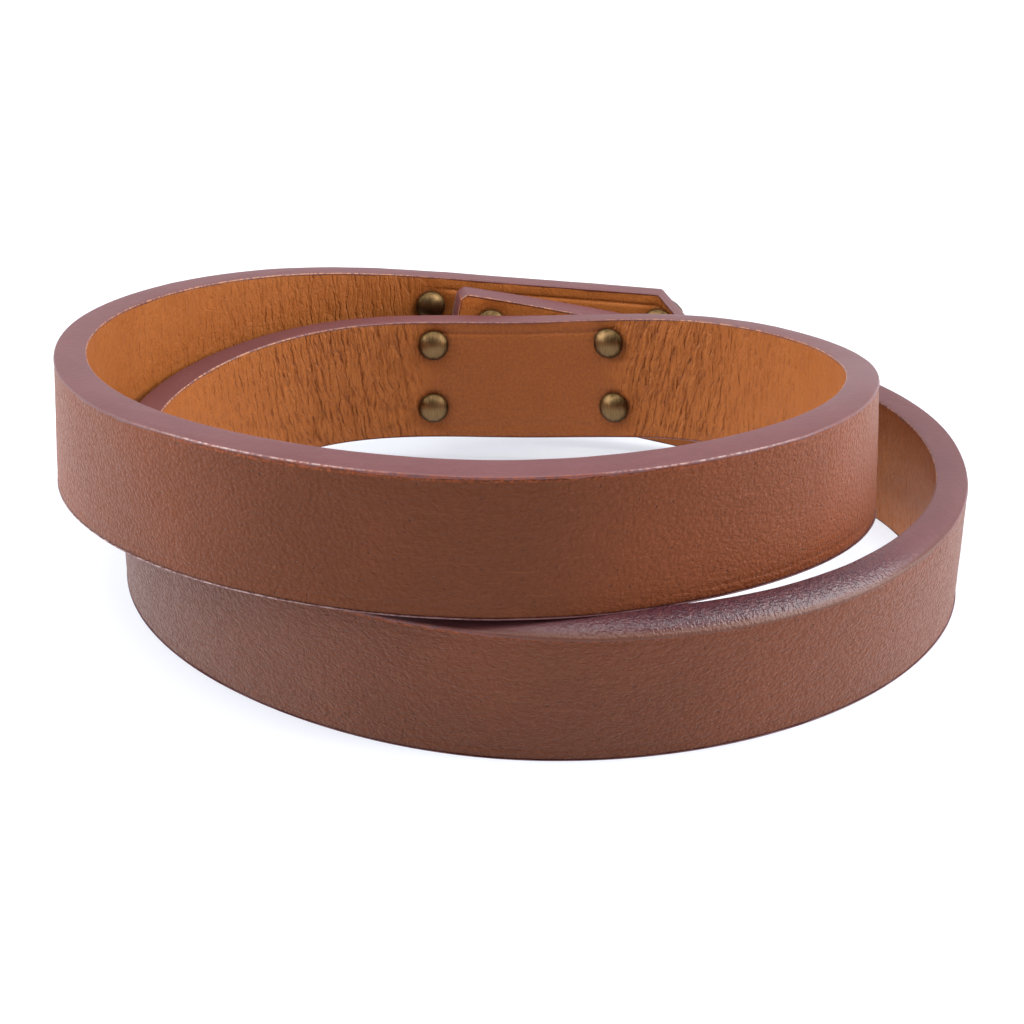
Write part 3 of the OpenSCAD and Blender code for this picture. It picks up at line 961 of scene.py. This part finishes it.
# The rivets. Domed brass heads 2.4 mm wide on the lining side, with posts that go through both
# leathers and low caps at the back. They were tumbled with dark antique finish, which stays
# round the rims, and the domes are brushed up and down.

HEAD_H = 0.75
CAP_R = 1.1
CAP_H = 0.5
POST_R = 0.55
SEAT_GAP = 0.1
PLATE_THICKNESS = 0.8
RIVET_SIDES = 56


def dome(radius, height):
    """Half outline of a low dome as radius and height, from its top to its seat: an arc of a
    ball over an upright rim a fifth as high as the dome, with a small round between them."""
    rim = height / 5
    rise = height - rim
    ball = (radius**2 + rise**2) / (2 * rise)
    angle = math.asin(radius / ball) * np.linspace(0.01, 0.97, 14)
    arc = np.stack([ball * np.sin(angle), height - ball + ball * np.cos(angle)], -1)
    side = [[radius, rim * 0.75], [radius, rim * 0.3], [radius - 0.03, 0.03], [radius - 0.12, 0.0]]
    return np.concatenate([arc, side])


def turned(name, profile, turn, row, rim_r):
    """A turned piece on the strap: the profile's radius and height swept round an axis that
    goes outwards through the strap at a turn angle and a row. Its UV map is its plan."""
    origin, along, up, out = strap_axes(np.array(length_at(turn)))
    angle = np.linspace(0, 2 * np.pi, RIVET_SIDES, endpoint=False)
    x = profile[:, :1] * np.cos(angle)
    y = profile[:, :1] * np.sin(angle)
    points = origin + x[..., None] * along + (y[..., None] + row) * up
    points = points + profile[:, None, 1:] * out
    piece = swept(name, points, (x + turn, y), rim=profile[:, :1] / rim_r)
    return piece


def rivet_profile(back, capped):
    """Outline of a rivet from the top of its head to its back: dome, post, and a cap whose
    underside is at back, or a post that ends there."""
    head = dome(HEAD_R, HEAD_H) * (1, -1) + (0, LINING_FACE - SEAT_GAP)
    parts = [head, [[POST_R, LINING_FACE - 0.02], [POST_R, back - 0.05]]]
    if capped:
        parts.append(dome(CAP_R, CAP_H)[::-1] + (0, back))
    else:
        parts.append([[POST_R - 0.05, back], [0.02, back]])
    return np.concatenate(parts)


# Antique brass: the metal is brushed in fine lines 0.09 mm apart, bright on top of the dome and
# brown with old finish towards the rim.
brass, tree, shader = new_material("antique_brass")
plan_mm = flat_place(tree)
brushing = patches(tree, plan_mm, (0.09, 1.3), 0.0, 3.0, 0.65)
spots = patches(tree, plan_mm, (0.3, 0.3), detail=4.0, roughness=0.65)
old = add_node(tree, "MapRange", {
    "Value": add_node(tree, "Math", {
        0: spots, 1: 0.35,
        2: add_node(tree, "Attribute", attribute_name="rim").outputs["Fac"],
    }, operation="MULTIPLY_ADD"),
    "From Min": 0.86, "From Max": 1.12,
}, interpolation_type="SMOOTHSTEP")
metal_colour = layered(tree, "#52402a", (
    (brushing, "#91744f"),
    (add_node(tree, "Math", {0: old, 1: 0.8}, operation="MULTIPLY"), "#3f3019"),
))
fill(tree, shader, {
    "Base Color": metal_colour,
    "Roughness": add_node(tree, "MapRange", {
        "Value": brushing, "From Min": 0.3, "From Max": 0.7, "To Min": 0.33, "To Max": 0.5,
    }),
    "Normal": add_node(tree, "Bump", {
        "Height": brushing, "Strength": 0.35, "Distance": 0.02 * MM,
    }),
    "Metallic": 1.0,
})

RIVET_BACKS = {
    "middle_rivet_left": (GRAIN_FACE + SEAT_GAP, True),
    "middle_rivet_right": (GRAIN_FACE + SEAT_GAP, True),
    "end_rivet_left": (GRAIN_FACE + PLATE_THICKNESS + 2 * SEAT_GAP, True),
    "end_rivet_right": (GRAIN_FACE + PLATE_THICKNESS + 2 * SEAT_GAP, True),
    "tongue_rivet": (GRAIN_FACE - SEAT_GAP, False),
}
for name, (turn, rows) in RIVET_COLUMNS.items():
    for side, row in zip(("upper", "lower"), rows):
        rivet = turned(f"{name}_{side}_brass", rivet_profile(*RIVET_BACKS[name]), turn, row, HEAD_R)
        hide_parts(f"{name}_{side}")
        rivet.data.materials.append(brass)

# The clasp. A rolled brass plate bent to the outer end's curve, held under the caps of the end
# rivets, and a stud with a flat head that goes through both ends. No side of it shows from the
# front, so it is kept plain.

PLATE_HALF = 3.8
PLATE_PAST = 2.6
PLATE_CLIP = 0.8
PLATE_EDGE_R = 0.18
STUD_TURN = 808.0
STUD_R = 1.0
STUD_HEAD_R = 1.7
STUD_HEAD_T = 0.6

plate_inner = GRAIN_FACE + SEAT_GAP
plate_outer = plate_inner + PLATE_THICKNESS
plate_section = np.concatenate([
    quarter(plate_outer, -PLATE_HALF, PLATE_EDGE_R, -90, 4),
    column(plate_outer, np.linspace(-3, 3, 7)),
    quarter(plate_outer, PLATE_HALF, PLATE_EDGE_R, 0, 4),
    quarter(plate_inner, PLATE_HALF, PLATE_EDGE_R, 90, 4),
    column(plate_inner, np.linspace(3, -3, 7)),
    quarter(plate_inner, -PLATE_HALF, PLATE_EDGE_R, 180, 4),
])
plate_start = length_at(RIVET_COLUMNS["end_rivet_right"][0] - PLATE_PAST)
plate_end = length_at(RIVET_COLUMNS["end_rivet_left"][0] + PLATE_PAST)
bevel = PLATE_EDGE_R * (1 - np.cos(np.linspace(0, np.pi / 2, 5)))
plate_along = np.concatenate([
    plate_start + bevel,
    np.linspace(plate_start + PLATE_EDGE_R, plate_end - PLATE_EDGE_R, 62)[1:-1],
    plate_end - bevel[::-1],
])[:, None]
from_end = np.minimum(plate_along - plate_start, plate_end - plate_along)
shrink = np.sqrt(np.clip(1 - (1 - np.clip(from_end / PLATE_EDGE_R, 0, 1)) ** 2, 0, 1))
plate_middle = (plate_inner + plate_outer) / 2
thick = (PLATE_THICKNESS / 2 - PLATE_EDGE_R * (1 - shrink)) / (PLATE_THICKNESS / 2)
cut = np.minimum(PLATE_HALF, PLATE_HALF - PLATE_CLIP + from_end) - PLATE_EDGE_R * (1 - shrink)
plate_up = plate_section[:, 1] * cut / PLATE_HALF
clasp_plate = swept(
    "clasp_plate",
    on_strap(plate_along, plate_up, plate_middle + (plate_section[:, 0] - plate_middle) * thick),
    (plate_along, plate_up),
    rim=np.abs(plate_up) / PLATE_HALF * 0.9,
)
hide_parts("clasp")
clasp_plate.data.materials.append(brass)

stud_reach = route(np.array(STUD_TURN - 720))[0] - route(np.array(STUD_TURN))[0]
stud_seat = LINING_FACE - 3 * SEAT_GAP
stud_end = stud_reach + plate_inner + PLATE_THICKNESS / 2
stud_profile = np.concatenate([
    [[0.02, stud_seat - STUD_HEAD_T], [STUD_HEAD_R - 0.4, stud_seat - STUD_HEAD_T]],
    quarter(STUD_HEAD_R, stud_seat - STUD_HEAD_T, 0.18, -90, 4),
    quarter(STUD_HEAD_R, stud_seat, 0.12, 0, 4),
    [[STUD_R, stud_seat], [STUD_R, stud_end], [0.02, stud_end]],
])
clasp_stud = turned("clasp_stud", stud_profile, STUD_TURN, 0.0, STUD_HEAD_R)
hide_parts("clasp")
clasp_stud.data.materials.append(brass)

# The studio. A white sweep under the bracelet, a large soft light overhead, two soft boxes to
# its sides and a dimmer room on the camera's side, as in a plain product photograph.

FLOOR_HALF = 1.5
FLOOR_DROP = 0.00002
floor_mesh = bpy.data.meshes.new("floor")
floor_mesh.from_pydata([
    (-FLOOR_HALF, -FLOOR_HALF, -FLOOR_DROP), (FLOOR_HALF, -FLOOR_HALF, -FLOOR_DROP),
    (FLOOR_HALF, FLOOR_HALF, -FLOOR_DROP), (-FLOOR_HALF, FLOOR_HALF, -FLOOR_DROP),
], [], [(0, 1, 2, 3)])
floor_sheet = bpy.data.objects.new("floor", floor_mesh)
bpy.context.scene.collection.objects.link(floor_sheet)
paper, tree, shader = new_material("white_backdrop_paper")
fill(tree, shader, {
    "Base Color": "#a5a8ae",
    "Roughness": 0.9,
    "Emission Color": "#f3f7ff",
    "Emission Strength": 0.66,
})
floor_mesh.materials.append(paper)

world = bpy.data.worlds.new("studio_room")
bpy.context.scene.world = world
world.use_nodes = True
tree = world.node_tree
facing = add_node(tree, "VectorMath", {
    0: add_node(tree, "TexCoord").outputs["Generated"], 1: (0.0, 1.0, 0.9),
}, operation="DOT_PRODUCT")
fill(tree, tree.nodes["Background"], {
    "Strength": add_node(tree, "MapRange", {
        "Value": facing, "From Min": -0.35, "From Max": 0.7, "To Min": 0.01, "To Max": 0.7,
    }, interpolation_type="SMOOTHSTEP"),
    "Color": "#fbfcff",
})


def soft_box(name, place, size, power):
    """A square area light at a place in metres, facing the bracelet."""
    data = bpy.data.lights.new(name, "AREA")
    data.size = size
    data.energy = power
    lamp = bpy.data.objects.new(name, data)
    lamp.location = place
    lamp.rotation_mode = "QUATERNION"
    lamp.rotation_quaternion = (-lamp.location).to_track_quat("-Z", "Y")
    lamp.visible_camera = False
    bpy.context.scene.collection.objects.link(lamp)


soft_box("overhead", (0.0, -0.1, 0.6), 0.45, 2.5)
soft_box("left_box", (-0.6, -0.05, 0.36), 0.6, 5.5)
soft_box("right_box", (0.6, -0.05, 0.36), 0.6, 6.5)

# The camera stands in front, a little above, with a long lens.

CAMERA_PLACE = Vector((0.00016, -0.1901, 0.0727))
CAMERA_AIM = Vector((0.00016, 0.00831, 0.00191))
camera_data = bpy.data.cameras.new("camera")
camera_data.lens = 95.67
camera_data.sensor_width = 36
camera_data.clip_start = 0.01
camera = bpy.data.objects.new("camera", camera_data)
camera.location = CAMERA_PLACE
camera.rotation_mode = "QUATERNION"
camera.rotation_quaternion = (CAMERA_AIM - CAMERA_PLACE).to_track_quat("-Z", "Y")
bpy.context.scene.collection.objects.link(camera)
bpy.context.scene.camera = camera
bpy.context.scene.view_settings.view_transform = "Standard"
